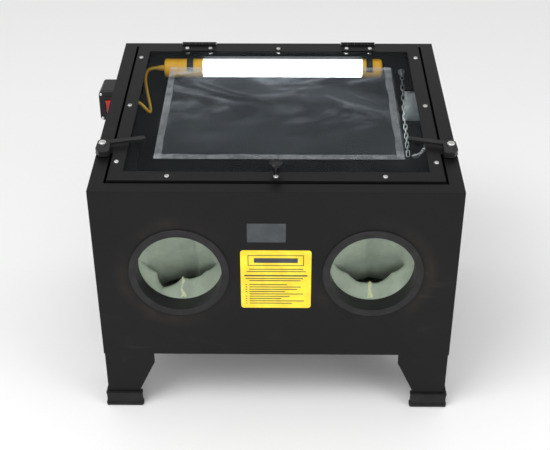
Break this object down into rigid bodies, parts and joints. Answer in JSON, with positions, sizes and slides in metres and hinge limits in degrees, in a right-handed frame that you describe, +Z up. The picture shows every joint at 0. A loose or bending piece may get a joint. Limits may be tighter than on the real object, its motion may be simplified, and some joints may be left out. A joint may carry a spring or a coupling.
{
  "type": "sandblast cabinet",
  "caption": "Benchtop sandblast cabinet with sloped hinged window lid, sleeved arm holes, inner lamp, work grate, hopper floor, side switch and angle legs in rubber boots.",
  "frame": {"origin": "centre of the cabinet's footprint on the floor, at the undersides of the rubber feet", "axes": "+X to the operator's right, +Y from the arm holes to the back, +Z up"},
  "size_m": [0.6398, 0.5028, 0.4973],
  "materials": {
    "black_powder_coat": "satin",
    "black_rubber": "matte",
    "zinc_steel": "satin",
    "galvanised_grate": "matte",
    "clear_pane": "clear",
    "hazy_film": "hazy",
    "frosted_tape": "frosted",
    "glove_cloth": "matte",
    "black_plastic": "satin",
    "black_knob": "gloss",
    "yellow_rubber": "satin",
    "lamp_glass": "frosted",
    "lamp_board": "matte",
    "yellow_cable": "satin",
    "yellow_plate": "satin",
    "dark_plate": "satin",
    "red_rocker": "gloss",
    "brass_fitting": "satin",
    "filter_felt": "matte",
    "gun_metal": "satin",
    "nozzle_ceramic": "matte"
  },
  "bodies": {
    "cabinet": {"front_panel": "black_powder_coat", "right_side_panel": "black_powder_coat", "left_side_panel": "black_powder_coat", "rear_panel": "black_powder_coat", "hopper_floor": "black_powder_coat", "drain_cap": "black_plastic", "grate_ledges": "black_powder_coat", "work_grate": "galvanised_grate", "pickup_tube": "black_plastic", "legs": "black_powder_coat", "foot_boots": "black_rubber", "leg_bolts": "zinc_steel", "rim_seal": "black_rubber", "name_plate": "dark_plate", "notice_plate": "yellow_plate", "glove_rings": "black_plastic", "glove_clamps": "zinc_steel", "glove_left": "glove_cloth", "glove_right": "glove_cloth", "hinge_leaves_body": "black_powder_coat", "hinge_pins": "zinc_steel", "hinge_screws_body": "zinc_steel", "chain_eye": "zinc_steel", "lamp_tube": "lamp_glass", "lamp_strip": "lamp_board", "lamp_caps": "yellow_rubber", "lamp_clips": "black_plastic", "lamp_strain_relief": "yellow_rubber", "lamp_lead": "yellow_cable", "cable_glands": "black_rubber", "switch_box": "black_plastic", "switch_cover": "black_plastic", "switch_screws": "zinc_steel", "switch_bezel": "black_knob", "air_inlet": "brass_fitting", "exhaust_filter": "filter_felt", "filter_frame": "black_powder_coat", "gun_body": "gun_metal", "gun_nozzle": "nozzle_ceramic", "nozzle_nut": "gun_metal", "gun_fittings": "brass_fitting"},
    "lid": {"lid_frame": "black_powder_coat", "window_gasket": "black_rubber", "window_pane": "clear_pane", "window_screws": "zinc_steel", "window_nuts": "zinc_steel", "protective_film": "hazy_film", "film_tape": "frosted_tape", "lid_knob": "black_knob", "hinge_leaves_lid": "black_powder_coat", "hinge_screws_lid": "zinc_steel", "chain_hook": "zinc_steel"},
    "latch_right": {"latch_lever_right": "black_plastic", "latch_bolt_right": "zinc_steel"},
    "latch_left": {"latch_lever_left": "black_plastic", "latch_bolt_left": "zinc_steel"},
    "chain_lower": {"chain_lower": "zinc_steel"},
    "chain_upper": {"chain_upper": "zinc_steel"},
    "rocker": {"switch_rocker": "red_rocker"},
    "trigger": {"gun_trigger": "gun_metal"}
  },
  "joints": [
    {"name": "lid_hinge", "type": "hinge", "parent": "cabinet", "child": "lid", "pos_m": [0, 0.22902, 0.49332], "axis": [-1, 0, 0], "range_deg": [0, 70]},
    {"name": "latch_right_turn", "type": "hinge", "parent": "lid", "child": "latch_right", "pos_m": [0.285, -0.12644, 0.44284], "axis": [0, 0.1268, -0.9919], "range_deg": [0, 90]},
    {"name": "latch_left_turn", "type": "hinge", "parent": "lid", "child": "latch_left", "pos_m": [-0.285, -0.12644, 0.44284], "axis": [0, -0.1268, 0.9919], "range_deg": [0, 90]},
    {"name": "chain_wall_pivot", "type": "hinge", "parent": "cabinet", "child": "chain_lower", "pos_m": [0.24, 0.231, 0.433], "axis": [-1, 0, 0], "range_deg": [0, 96]},
    {"name": "chain_lid_pivot", "type": "hinge", "parent": "lid", "child": "chain_upper", "pos_m": [0.251, -0.09237, 0.43651], "axis": [-1, 0, 0], "range_deg": [-37.9, 0]},
    {"name": "rocker_tilt", "type": "hinge", "parent": "cabinet", "child": "rocker", "pos_m": [-0.318, 0.159, 0.396], "axis": [-1, 0, 0], "range_deg": [0, 16]},
    {"name": "trigger_pull", "type": "hinge", "parent": "cabinet", "child": "trigger", "pos_m": [-0.161, 0.1685, 0.165], "axis": [0, 0, -1], "range_deg": [0, 12], "stiffness_Nm_per_rad": 0.2}
  ],
  "couplings": [
    {"joint": "chain_wall_pivot", "follows": "lid_hinge", "ratio": 1.3689},
    {"joint": "chain_lid_pivot", "follows": "lid_hinge", "ratio": -0.54064}
  ]
}
